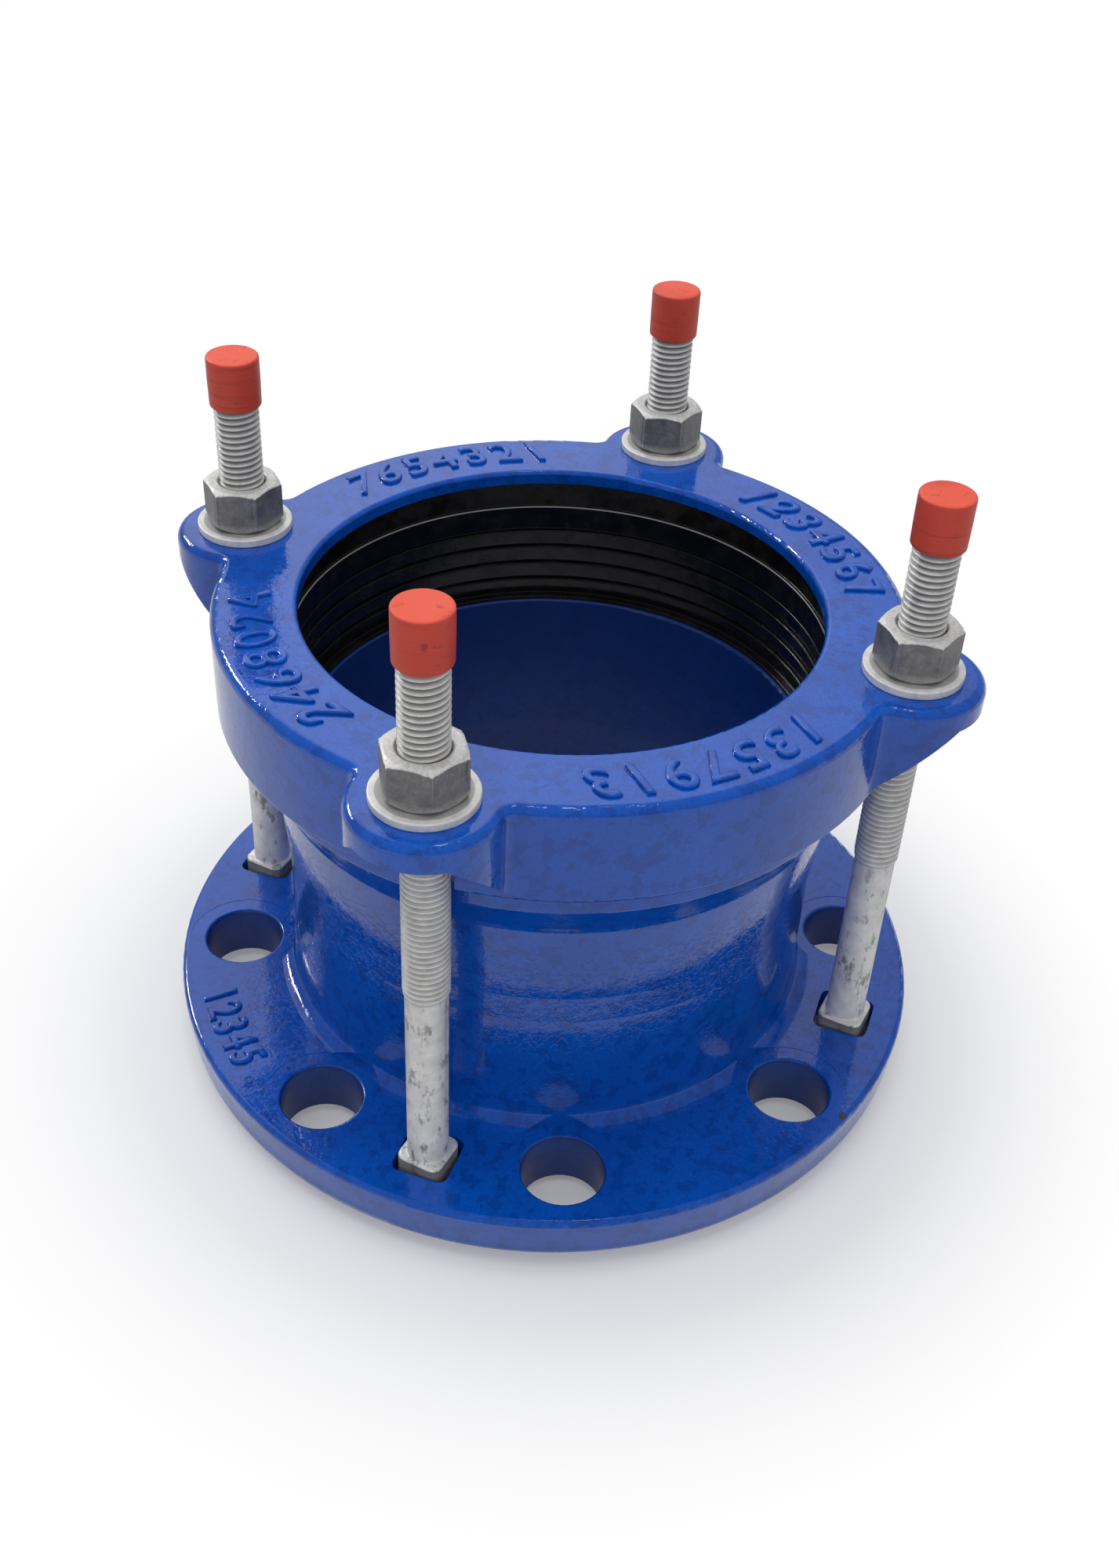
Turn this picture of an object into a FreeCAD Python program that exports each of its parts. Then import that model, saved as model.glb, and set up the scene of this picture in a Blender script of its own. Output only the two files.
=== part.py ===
"""A universal flange adaptor for a 100 mm pipe: flange body, gland ring, gasket and four clamp bolts.

Millimetres, +Z up. The origin is the middle of the raised face that the adaptor stands on, and the
clamp bolts lie on the X and Y axes.
"""
import FreeCAD
import Part
import math
import os
import Sketcher

# Driving sizes, each with what it is
SIZES = (
    ("bore_radius", 67.0, "bore of the body"),
    ("raised_face_width", 11.0, "raised sealing face round the bore, under the flange"),
    ("raised_face_height", 3.0, "height of the raised face"),
    ("flange_margin", 6.75, "flange outside the recesses for the bolt heads"),
    ("flange_thickness", 16.0, "flange above the raised face"),
    ("rim_taper", 1.3, "how much smaller the flange is at its lower edge"),
    ("rim_round_low", 5.0, "round on the flange's lower edge"),
    ("rim_round_top", 1.6, "round on the flange's upper edge"),
    ("flange_hole_setback", 16.4, "centres of the flange holes outside the neck"),
    ("flange_hole_radius", 11.25, "flange holes"),
    ("flange_hole_count", 8, "number of flange holes"),
    ("flange_hole_round", 0.8, "round on the upper edge of the flange holes"),
    ("spot_face_radius", 16.2, "spot face round each flange hole"),
    ("spot_face_depth", 0.1, "depth of the spot faces"),
    ("neck_wall", 8.6, "wall of the straight neck"),
    ("neck_fillet", 5.0, "fillet between neck and flange"),
    ("neck_length", 43.0, "straight neck above the flange"),
    ("bell_length", 31.0, "gentle flare above the neck"),
    ("bell_spread", 3.4, "how much the gentle flare adds to the neck's radius"),
    ("bell_blend", 80.0, "round where the neck turns into the flare"),
    ("throat_length", 11.3, "steep flare up to the socket rim"),
    ("throat_blend", 6.0, "round between the two flares"),
    ("rim_height", 7.7, "straight side of the socket rim"),
    ("rim_edge_round", 0.8, "round on the edges of the socket rim"),
    ("bore_flare_drop", 10.0, "start of the bore's flare below the end of the straight neck"),
    ("bore_spread", 2.6, "how much the bore widens up to the gasket's ledge"),
    ("ledge_width", 5.6, "ledge that the gasket stands on"),
    ("seat_spread", 5.3, "how much the gasket seat widens up to its mouth"),
    ("seat_depth", 16.0, "depth of the gasket seat below the socket rim"),
    ("rim_wall", 5.0, "wall of the socket at its mouth"),
    ("gasket_height", 40.5, "gasket before it is squeezed"),
    ("gasket_setback", 2.7, "inner lips of the gasket outside the inner edge of the ledge"),
    ("gasket_gap", 0.4, "gasket to the castings beside it"),
    ("lip_count", 4, "number of sealing lips"),
    ("lip_pitch", 5.7, "height of each sealing lip"),
    ("lip_relief", 1.2, "how far each lip leans back at its top"),
    ("gasket_heel", 1.0, "heel of the gasket, which covers the ledge"),
    ("gasket_step_drop", 9.2, "top of the gasket to the step in its inner face"),
    ("gasket_step", 0.9, "width of that step"),
    ("gasket_lead_in", 2.6, "how much the gasket opens above the step"),
    ("ring_wall", 6.1, "wall of the gland ring's skirt"),
    ("ring_height", 27.2, "height of the gland ring"),
    ("ring_bore_spread", 2.6, "opening in the top of the gland ring outside the body's bore"),
    ("ring_bore_round", 1.3, "round on the upper edge of that opening"),
    ("ring_roof", 4.0, "top of the gland ring at its opening"),
    ("ring_skirt_gap", 0.4, "gland ring to the socket rim that it slides over"),
    ("ring_skirt_depth", 11.0, "straight inner wall of the skirt"),
    ("ring_cone_inset", 5.5, "how much the gland ring narrows above the skirt"),
    ("ring_top_round", 2.6, "round on the upper edge of the ring and its lugs"),
    ("ring_low_round", 1.0, "round on the outer lower edge of the skirt"),
    ("lug_radius", 18.7, "rounded end of each lug"),
    ("lug_thickness", 7.0, "outer end of each lug"),
    ("lug_nose", 3.8, "level underside at the outer end of each lug"),
    ("lug_toe", 1.2, "foot of the lug above the skirt's lower edge"),
    ("lug_root_depth", 1.0, "foot of the lug inside the ring wall"),
    ("lug_corner", 3.2, "fillet between lug and ring wall"),
    ("lug_hole_radius", 6.75, "bolt hole in each lug"),
    ("bolt_outset", 1.25, "axes of the clamp bolts outside the gland ring's wall"),
    ("thread_radius", 6.0, "threaded end of the bolt"),
    ("thread_length", 109.7, "threaded end of the bolt"),
    ("thread_chamfer", 1.0, "chamfer at the bolt's end"),
    ("shank_radius", 5.5, "plain shank of the bolt"),
    ("shank_length", 57.6, "plain shank of the bolt"),
    ("neck_side", 13.0, "square neck of the bolt, across its flats"),
    ("neck_corner", 2.6, "round on the square neck's corners"),
    ("neck_rise", 2.7, "square neck above the flange"),
    ("neck_top_round", 0.8, "round on the square neck's upper edge"),
    ("head_side", 18.0, "square head of the bolt, across its flats"),
    ("head_corner", 2.0, "round on the head's corners"),
    ("head_thickness", 6.6, "head of the bolt"),
    ("head_setback", 0.4, "head above the flange's underside"),
    ("neck_gap", 1.4, "square hole in the flange round the square neck"),
    ("head_gap", 1.0, "recess in the flange round the head"),
    ("washer_radius", 12.9, "washer"),
    ("washer_hole_gap", 0.5, "washer round the thread"),
    ("washer_thickness", 2.2, "washer"),
    ("washer_round", 0.4, "round on the washer's upper edge"),
    ("nut_flats", 19.0, "nut across its flats"),
    ("nut_height", 12.0, "nut"),
    ("nut_crown_inset", 0.4, "start of the corner chamfer inside the flats"),
    ("nut_mouth", 0.7, "countersink of the nut's thread"),
    ("thread_clearance", 0.05, "nut and cap round the thread"),
    ("cap_length", 13.5, "thread cap"),
    ("cap_wall", 0.9, "side wall of the thread cap"),
    ("cap_end", 1.5, "closed end of the thread cap"),
    ("cap_round", 0.8, "round on the cap's closed end"),
)

BOLT_COUNT = 4
# How far each bolt has turned in its square hole, and each nut from its flats along X, in degrees
BOLT_TURN = -8.0
NUT_TURNS = (39.0, 40.5, 46.5, 32.5)
# Slopes of the chamfers on the nut's upper and lower corners, in degrees
NUT_CROWN_SLOPE = 30
NUT_FOOT_SLOPE = 45
# Two lengths closer than this are the same
CLOSE = 0.01

# Heights and radii worked out from the sizes, as expressions
FLANGE_TOP = "(Sizes.raised_face_height + Sizes.flange_thickness)"
RAISED_FACE_RADIUS = "(Sizes.bore_radius + Sizes.raised_face_width)"
NECK_RADIUS = "(Sizes.bore_radius + Sizes.neck_wall)"
NECK_END = f"({FLANGE_TOP} + Sizes.neck_length)"
BELL_RADIUS = f"({NECK_RADIUS} + Sizes.bell_spread)"
BELL_END = f"({NECK_END} + Sizes.bell_length)"
LEDGE_RADIUS = "(Sizes.bore_radius + Sizes.bore_spread)"
SEAT_RADIUS = f"({LEDGE_RADIUS} + Sizes.ledge_width)"
MOUTH_RADIUS = f"({SEAT_RADIUS} + Sizes.seat_spread)"
RIM_RADIUS = f"({MOUTH_RADIUS} + Sizes.rim_wall)"
RIM_LOW = f"({BELL_END} + Sizes.throat_length)"
RIM_TOP = f"({RIM_LOW} + Sizes.rim_height)"
SEAT = f"({RIM_TOP} - Sizes.seat_depth)"
GASKET_RADIUS = f"({LEDGE_RADIUS} + Sizes.gasket_setback)"
GASKET_TOP = f"({SEAT} + Sizes.gasket_height)"
RING_TOP = f"({GASKET_TOP} + Sizes.ring_roof)"
RING_LOW = f"({RING_TOP} - Sizes.ring_height)"
RING_BORE_RADIUS = "(Sizes.bore_radius + Sizes.ring_bore_spread)"
SKIRT_RADIUS = f"({RIM_RADIUS} + Sizes.ring_skirt_gap)"
SKIRT_END = f"({RING_LOW} + Sizes.ring_skirt_depth)"
RING_RADIUS = f"({SKIRT_RADIUS} + Sizes.ring_wall)"
CONE_RADIUS = f"({SKIRT_RADIUS} - Sizes.ring_cone_inset)"
BOLT_OFFSET = f"({RING_RADIUS} + Sizes.bolt_outset)"
NECK_HOLE = "(Sizes.neck_side + 2 * Sizes.neck_gap)"
HEAD_RECESS = "(Sizes.head_side + 2 * Sizes.head_gap)"
HEAD_LOW = "(Sizes.raised_face_height + Sizes.head_setback)"
HEAD_TOP = f"({HEAD_LOW} + Sizes.head_thickness)"
BOLT_NECK_TOP = f"({FLANGE_TOP} + Sizes.neck_rise)"
SHANK_TOP = f"({BOLT_NECK_TOP} + Sizes.shank_length)"
BOLT_TOP = f"({SHANK_TOP} + Sizes.thread_length)"
THREAD_HOLE = "(Sizes.thread_radius + Sizes.thread_clearance)"
WASHER_TOP = f"({RING_TOP} + Sizes.washer_thickness)"
CAP_TOP = f"({BOLT_TOP} + Sizes.cap_end)"
FLANGE_RADIUS = f"({BOLT_OFFSET} + {HEAD_RECESS} / 2 + Sizes.flange_margin)"
HOLE_OFFSET = f"({NECK_RADIUS} + Sizes.flange_hole_setback)"
HALF_PITCH = "(180 / Sizes.flange_hole_count)"

doc = FreeCAD.newDocument("flange_adaptor")
sheet = doc.addObject("Spreadsheet::Sheet", "Sizes")
for row, (alias, size, meaning) in enumerate(SIZES, start=1):
    sheet.set(f"A{row}", meaning)
    sheet.set(f"B{row}", str(size))
    sheet.setAlias(f"B{row}", alias)
doc.recompute()


def value(expression):
    """The present value of an expression, as a plain number."""
    return float(sheet.evalExpression(expression))


def new_body(name):
    """A body whose label names its file."""
    body = doc.addObject("PartDesign::Body", name)
    body.Label = name
    return body


def origin_feature(body, role):
    """A plane or an axis of a body's own origin."""
    return next(item for item in body.Origin.OriginFeatures if item.Role == role)


def new_sketch(body, name, plane="XY_Plane", height=None):
    """A sketch on an origin plane of its body, lifted along the plane's normal."""
    sketch = body.newObject("Sketcher::SketchObject", name)
    sketch.AttachmentSupport = (origin_feature(body, plane), [""])
    sketch.MapMode = "FlatFace"
    if height is not None:
        sketch.setExpression(".AttachmentOffset.Base.z", height)
    return sketch


def place(sketch, geometry, point, spot):
    """Ties a point of a sketch to a spot given as two expressions."""
    for kind, expression in zip(("DistanceX", "DistanceY"), spot):
        distance = value(expression)
        if abs(distance) < CLOSE:
            line = -2 if kind == "DistanceX" else -1
            sketch.addConstraint(Sketcher.Constraint("PointOnObject", geometry, point, line))
        elif distance > 0:
            number = sketch.addConstraint(Sketcher.Constraint(kind, -1, 1, geometry, point, distance))
            sketch.setExpression(f"Constraints[{number}]", expression)
        else:
            number = sketch.addConstraint(Sketcher.Constraint(kind, geometry, point, -1, 1, -distance))
            sketch.setExpression(f"Constraints[{number}]", f"-({expression})")


def draw_outline(sketch, spots):
    """A closed outline of straight sides through spots."""
    points = [FreeCAD.Vector(value(x), value(y), 0) for x, y in spots]
    first = sketch.GeometryCount
    count = len(points)
    for number, point in enumerate(points):
        sketch.addGeometry(Part.LineSegment(point, points[(number + 1) % count]), False)
    for number in range(count):
        after = first + (number + 1) % count
        sketch.addConstraint(Sketcher.Constraint("Coincident", first + number, 2, after, 1))
    for number, spot in enumerate(spots):
        place(sketch, first + number, 1, spot)


def draw_circle(sketch, spot, radius):
    """A circle about a spot."""
    centre = FreeCAD.Vector(value(spot[0]), value(spot[1]), 0)
    circle = sketch.addGeometry(Part.Circle(centre, FreeCAD.Vector(0, 0, 1), value(radius)), False)
    number = sketch.addConstraint(Sketcher.Constraint("Radius", circle, value(radius)))
    sketch.setExpression(f"Constraints[{number}]", radius)
    place(sketch, circle, 3, spot)


def draw_square(sketch, centre_x, side):
    """A square about a point of the X axis."""
    low_x = f"{centre_x} - {side} / 2"
    high_x = f"{centre_x} + {side} / 2"
    half = f"{side} / 2"
    draw_outline(sketch, ((low_x, f"-{half}"), (high_x, f"-{half}"), (high_x, half), (low_x, half)))


def revolve(body, name, spots, cut=False):
    """Turns a profile of (radius, height) spots about the Z axis, as a solid or as a cut."""
    sketch = new_sketch(body, f"{name}_profile", "XZ_Plane")
    draw_outline(sketch, spots)
    kind = "PartDesign::Groove" if cut else "PartDesign::Revolution"
    feature = body.newObject(kind, name)
    feature.Profile = sketch
    feature.ReferenceAxis = (origin_feature(body, "Z_Axis"), [""])
    feature.Angle = 360
    doc.recompute()


def pad(body, name, sketch, length, both_ways=False):
    """Pads a sketch along its normal."""
    feature = body.newObject("PartDesign::Pad", name)
    feature.Profile = sketch
    if both_ways:
        feature.SideType = "Symmetric"
    feature.setExpression("Length", length)
    doc.recompute()
    return feature


def pocket(body, name, sketch, length, upwards=False):
    """Cuts a sketch out of the body, downwards unless told otherwise, and checks that it cut."""
    before = body.Shape.Volume
    feature = body.newObject("PartDesign::Pocket", name)
    feature.Profile = sketch
    feature.Reversed = upwards
    feature.setExpression("Length", length)
    doc.recompute()
    if body.Shape.Volume > before - CLOSE:
        raise RuntimeError(f"{name} cuts nothing")
    return feature


def repeat_about_axis(body, name, originals, count):
    """Repeats features evenly about the Z axis."""
    pattern = body.newObject("PartDesign::PolarPattern", name)
    pattern.Originals = originals
    pattern.Axis = (origin_feature(body, "Z_Axis"), [""])
    pattern.Angle = 360
    if isinstance(count, str):
        pattern.setExpression("Occurrences", count)
    else:
        pattern.Occurrences = count
    body.Tip = pattern
    doc.recompute()


def round_edges(body, name, test, radius):
    """Rounds those edges of the body's tip that pass a test."""
    base = body.Tip
    names = [f"Edge{number}" for number, edge in enumerate(base.Shape.Edges, start=1) if test(edge)]
    if not names:
        raise RuntimeError(f"{name} finds no edge")
    feature = body.newObject("PartDesign::Fillet", name)
    feature.Base = (base, names)
    feature.setExpression("Radius", radius)
    doc.recompute()


def is_ring(edge, radius, height):
    """Whether an edge is a circle about the Z axis of a given radius and height."""
    curve = edge.Curve
    if not isinstance(curve, Part.Circle):
        return False
    centred = math.hypot(curve.Center.x, curve.Center.y) < CLOSE
    return centred and abs(curve.Radius - radius) < CLOSE and abs(curve.Center.z - height) < CLOSE


def round_ring_edge(body, name, radius, height, size):
    """Rounds the circle about the Z axis that has a given radius and height."""
    wanted_radius = value(radius)
    wanted_height = value(height)
    round_edges(body, name, lambda edge: is_ring(edge, wanted_radius, wanted_height), size)


def distance_to_bolt(point):
    """How far a point is from the nearest clamp bolt's axis."""
    offset = value(BOLT_OFFSET)
    angles = [2 * math.pi * number / BOLT_COUNT for number in range(BOLT_COUNT)]
    return min(math.hypot(point.x - offset * math.cos(angle), point.y - offset * math.sin(angle))
               for angle in angles)


def is_upright(edge):
    """Whether an edge is a straight line along Z."""
    if not isinstance(edge.Curve, Part.Line):
        return False
    return math.hypot(edge.Curve.Direction.x, edge.Curve.Direction.y) < CLOSE


def middle_of(edge):
    """The point half way along an edge."""
    return edge.valueAt((edge.FirstParameter + edge.LastParameter) / 2)


def is_level(edge, height):
    """Whether an edge lies at a height."""
    points = [vertex.Point for vertex in edge.Vertexes] + [middle_of(edge)]
    return all(abs(point.z - height) < CLOSE for point in points)


# Body of the adaptor: one casting from the raised face to the socket rim
def make_flange_body():
    body = new_body("flange_body")
    flange_low_radius = f"({FLANGE_RADIUS} - Sizes.rim_taper)"
    revolve(body, "casting", (
        ("Sizes.bore_radius", "0"),
        (RAISED_FACE_RADIUS, "0"),
        (RAISED_FACE_RADIUS, "Sizes.raised_face_height"),
        (flange_low_radius, "Sizes.raised_face_height"),
        (FLANGE_RADIUS, FLANGE_TOP),
        (NECK_RADIUS, FLANGE_TOP),
        (NECK_RADIUS, NECK_END),
        (BELL_RADIUS, BELL_END),
        (RIM_RADIUS, RIM_LOW),
        (RIM_RADIUS, RIM_TOP),
        (MOUTH_RADIUS, RIM_TOP),
        (SEAT_RADIUS, SEAT),
        (LEDGE_RADIUS, SEAT),
        ("Sizes.bore_radius", f"{NECK_END} - Sizes.bore_flare_drop"),
    ))
    round_ring_edge(body, "neck_foot", NECK_RADIUS, FLANGE_TOP, "Sizes.neck_fillet")
    round_ring_edge(body, "rim_low_edge", flange_low_radius, "Sizes.raised_face_height",
                    "Sizes.rim_round_low")
    round_ring_edge(body, "rim_top_edge", FLANGE_RADIUS, FLANGE_TOP, "Sizes.rim_round_top")
    round_ring_edge(body, "bell_start", NECK_RADIUS, NECK_END, "Sizes.bell_blend")
    round_ring_edge(body, "throat_start", BELL_RADIUS, BELL_END, "Sizes.throat_blend")
    round_ring_edge(body, "socket_low_edge", RIM_RADIUS, RIM_LOW, "Sizes.rim_edge_round")
    round_ring_edge(body, "socket_top_edge", RIM_RADIUS, RIM_TOP, "Sizes.rim_edge_round")
    round_ring_edge(body, "mouth_edge", MOUTH_RADIUS, RIM_TOP, "Sizes.rim_edge_round")
    round_ring_edge(body, "ledge_edge", LEDGE_RADIUS, SEAT, "Sizes.rim_edge_round")
    cut_flange_holes(body)
    cut_bolt_seats(body)
    return body


def cut_flange_holes(body):
    """Holes for the flange bolts, each in a spot face that cuts into the foot of the neck."""
    spot = (f"{HOLE_OFFSET} * cos({HALF_PITCH})", f"{HOLE_OFFSET} * sin({HALF_PITCH})")
    sketch = new_sketch(body, "spot_face_outline", height=f"({FLANGE_TOP} + Sizes.neck_fillet)")
    draw_circle(sketch, spot, "Sizes.spot_face_radius")
    spot_face = pocket(body, "spot_face", sketch, "Sizes.neck_fillet + Sizes.spot_face_depth")
    repeat_about_axis(body, "spot_faces", [spot_face], "Sizes.flange_hole_count")

    sketch = new_sketch(body, "flange_hole_outline", height=FLANGE_TOP)
    draw_circle(sketch, spot, "Sizes.flange_hole_radius")
    flange_hole = pocket(body, "flange_hole", sketch, FLANGE_TOP)
    repeat_about_axis(body, "flange_holes", [flange_hole], "Sizes.flange_hole_count")

    hole_radius = value("Sizes.flange_hole_radius")
    spot_floor = value(f"{FLANGE_TOP} - Sizes.spot_face_depth")

    def is_hole_edge(edge):
        if not isinstance(edge.Curve, Part.Circle):
            return False
        same_radius = abs(edge.Curve.Radius - hole_radius) < CLOSE
        return same_radius and abs(edge.Curve.Center.z - spot_floor) < CLOSE

    round_edges(body, "flange_hole_edges", is_hole_edge, "Sizes.flange_hole_round")


def cut_bolt_seats(body):
    """Square holes for the clamp bolts' necks, with recesses below them for the heads."""
    sketch = new_sketch(body, "neck_hole_outline", height=FLANGE_TOP)
    draw_square(sketch, BOLT_OFFSET, NECK_HOLE)
    neck_hole = pocket(body, "neck_hole", sketch, FLANGE_TOP)
    sketch = new_sketch(body, "head_recess_outline")
    draw_square(sketch, BOLT_OFFSET, HEAD_RECESS)
    head_recess = pocket(body, "head_recess", sketch, HEAD_TOP, upwards=True)
    repeat_about_axis(body, "bolt_seats", [neck_hole, head_recess], BOLT_COUNT)
    reach = value(HEAD_RECESS)

    def is_seat_corner(edge):
        return is_upright(edge) and distance_to_bolt(middle_of(edge)) < reach

    round_edges(body, "bolt_seat_corners", is_seat_corner, "Sizes.neck_corner")


# Gland ring: a deep ring that slides over the socket rim, with a lug for each clamp bolt
def make_gland_ring():
    body = new_body("gland_ring")
    revolve(body, "blank", (
        ("0", RING_LOW),
        (RING_RADIUS, RING_LOW),
        (RING_RADIUS, RING_TOP),
        ("0", RING_TOP),
    ))
    round_ring_edge(body, "skirt_edge", RING_RADIUS, RING_LOW, "Sizes.ring_low_round")
    add_lugs(body)
    revolve(body, "gasket_chamber", (
        ("0", RING_LOW),
        (SKIRT_RADIUS, RING_LOW),
        (SKIRT_RADIUS, SKIRT_END),
        (CONE_RADIUS, GASKET_TOP),
        (RING_BORE_RADIUS, GASKET_TOP),
        (RING_BORE_RADIUS, RING_TOP),
        ("0", RING_TOP),
    ), cut=True)
    round_lugs(body)
    round_ring_edge(body, "opening_edge", RING_BORE_RADIUS, RING_TOP, "Sizes.ring_bore_round")
    return body


def add_lugs(body):
    """A lug's side view, trimmed to its rounded end and drilled, then repeated for each bolt."""
    lug_end = f"({BOLT_OFFSET} + Sizes.lug_radius)"
    lug_root = f"(sqrt({RING_RADIUS} ^ 2 - Sizes.lug_radius ^ 2) - Sizes.lug_root_depth)"
    lug_low = f"({RING_LOW} + Sizes.lug_toe)"
    sketch = new_sketch(body, "lug_side_view", "XZ_Plane")
    draw_outline(sketch, (
        (CONE_RADIUS, RING_TOP),
        (CONE_RADIUS, lug_low),
        (lug_root, lug_low),
        (f"{lug_end} - Sizes.lug_nose", f"{RING_TOP} - Sizes.lug_thickness"),
        (lug_end, f"{RING_TOP} - Sizes.lug_thickness"),
        (lug_end, RING_TOP),
    ))
    lug = pad(body, "lug", sketch, "2 * Sizes.lug_radius", both_ways=True)

    sketch = new_sketch(body, "lug_end_trim", height=RING_TOP)
    draw_end_trim(sketch, f"(({lug_root} + {BOLT_OFFSET}) / 2)", f"({lug_end} + Sizes.lug_radius)")
    trim = pocket(body, "lug_trim", sketch, "Sizes.ring_height")

    sketch = new_sketch(body, "lug_hole_outline", height=RING_TOP)
    draw_circle(sketch, (BOLT_OFFSET, "0"), "Sizes.lug_hole_radius")
    lug_hole = pocket(body, "lug_hole", sketch, "Sizes.ring_height")
    repeat_about_axis(body, "lugs", [lug, trim, lug_hole], BOLT_COUNT)


def draw_end_trim(sketch, start, end):
    """The outline of what surrounds a lug's end: half a circle about the bolt, its sides and a frame."""
    side = "Sizes.lug_radius"
    frame = "(2 * Sizes.lug_radius)"
    corners = (
        (BOLT_OFFSET, side),
        (start, side),
        (start, frame),
        (end, frame),
        (end, f"-{frame}"),
        (start, f"-{frame}"),
        (start, f"-{side}"),
        (BOLT_OFFSET, f"-{side}"),
    )
    points = [FreeCAD.Vector(value(x), value(y), 0) for x, y in corners]
    lines = [sketch.addGeometry(Part.LineSegment(here, there), False)
             for here, there in zip(points, points[1:])]
    for line, after, corner in zip(lines, lines[1:], corners[1:]):
        sketch.addConstraint(Sketcher.Constraint("Coincident", line, 2, after, 1))
        place(sketch, after, 1, corner)
    centre = FreeCAD.Vector(value(BOLT_OFFSET), 0, 0)
    circle = Part.Circle(centre, FreeCAD.Vector(0, 0, 1), value(side))
    arc = sketch.addGeometry(Part.ArcOfCircle(circle, -math.pi / 2, math.pi / 2), False)
    place(sketch, arc, 3, (BOLT_OFFSET, "0"))
    number = sketch.addConstraint(Sketcher.Constraint("Radius", arc, value(side)))
    sketch.setExpression(f"Constraints[{number}]", side)
    for arc_end, line, line_end in ((2, lines[0], 1), (1, lines[-1], 2)):
        sketch.addConstraint(Sketcher.Constraint("Coincident", arc, arc_end, line, line_end))
        sketch.addConstraint(Sketcher.Constraint("Vertical", arc, arc_end, arc, 3))


def round_lugs(body):
    """Fillets between the lugs and the wall, then the round along the whole upper edge."""
    ring_radius = value(RING_RADIUS)
    lug_radius = value("Sizes.lug_radius")
    lug_hole_radius = value("Sizes.lug_hole_radius")
    ring_bore_radius = value(RING_BORE_RADIUS)
    ring_top = value(RING_TOP)

    def is_inside_corner(edge):
        middle = middle_of(edge)
        on_wall = abs(math.hypot(middle.x, middle.y) - ring_radius) < CLOSE
        return is_upright(edge) and on_wall and distance_to_bolt(middle) > lug_radius

    def is_upper_outline(edge):
        middle = middle_of(edge)
        if not is_level(edge, ring_top) or distance_to_bolt(middle) < lug_hole_radius + CLOSE:
            return False
        return math.hypot(middle.x, middle.y) > ring_bore_radius + CLOSE

    round_edges(body, "lug_corners", is_inside_corner, "Sizes.lug_corner")
    round_edges(body, "upper_outline", is_upper_outline, "Sizes.ring_top_round")


# Gasket: a rubber wedge ring with leaning sealing lips
def make_gasket():
    body = new_body("gasket")
    heel_radius = f"({LEDGE_RADIUS} + Sizes.rim_edge_round)"
    lips_low = f"({SEAT} + Sizes.gasket_heel)"
    lips_top = f"({lips_low} + Sizes.lip_count * Sizes.lip_pitch)"
    relief_radius = f"({GASKET_RADIUS} + Sizes.lip_relief)"
    step_radius = f"({GASKET_RADIUS} + Sizes.gasket_step)"
    step = f"({GASKET_TOP} - Sizes.gasket_step_drop)"
    spots = [
        (f"{step_radius} + Sizes.gasket_lead_in", GASKET_TOP),
        (f"{CONE_RADIUS} - Sizes.gasket_gap", GASKET_TOP),
        (f"{SKIRT_RADIUS} - Sizes.gasket_gap", SKIRT_END),
        (f"{SKIRT_RADIUS} - Sizes.gasket_gap", f"{RIM_TOP} + Sizes.gasket_gap"),
        (f"{MOUTH_RADIUS} - Sizes.gasket_gap", f"{RIM_TOP} + Sizes.gasket_gap"),
        (f"{SEAT_RADIUS} - Sizes.gasket_gap", SEAT),
        (heel_radius, SEAT),
        (heel_radius, lips_low),
    ]
    for lip in range(round(value("Sizes.lip_count"))):
        spots.append((GASKET_RADIUS, f"{lips_low} + {lip} * Sizes.lip_pitch"))
        spots.append((relief_radius, f"{lips_low} + {lip + 1} * Sizes.lip_pitch"))
    spots.append((GASKET_RADIUS, lips_top))
    spots.append((GASKET_RADIUS, step))
    spots.append((step_radius, step))
    revolve(body, "rubber", spots)
    return body


def stand_at_bolt(body, number, height, turn):
    """Puts a piece that is modelled about its own axis on a bolt's axis, at a height."""
    angle = 360 / BOLT_COUNT * number
    axis = FreeCAD.Vector(0, 0, 1)
    body.Placement = FreeCAD.Placement(FreeCAD.Vector(), FreeCAD.Rotation(axis, angle + turn))
    body.setExpression(".Placement.Base.x", f"{BOLT_OFFSET} * cos({angle})")
    body.setExpression(".Placement.Base.y", f"{BOLT_OFFSET} * sin({angle})")
    body.setExpression(".Placement.Base.z", height)


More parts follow.
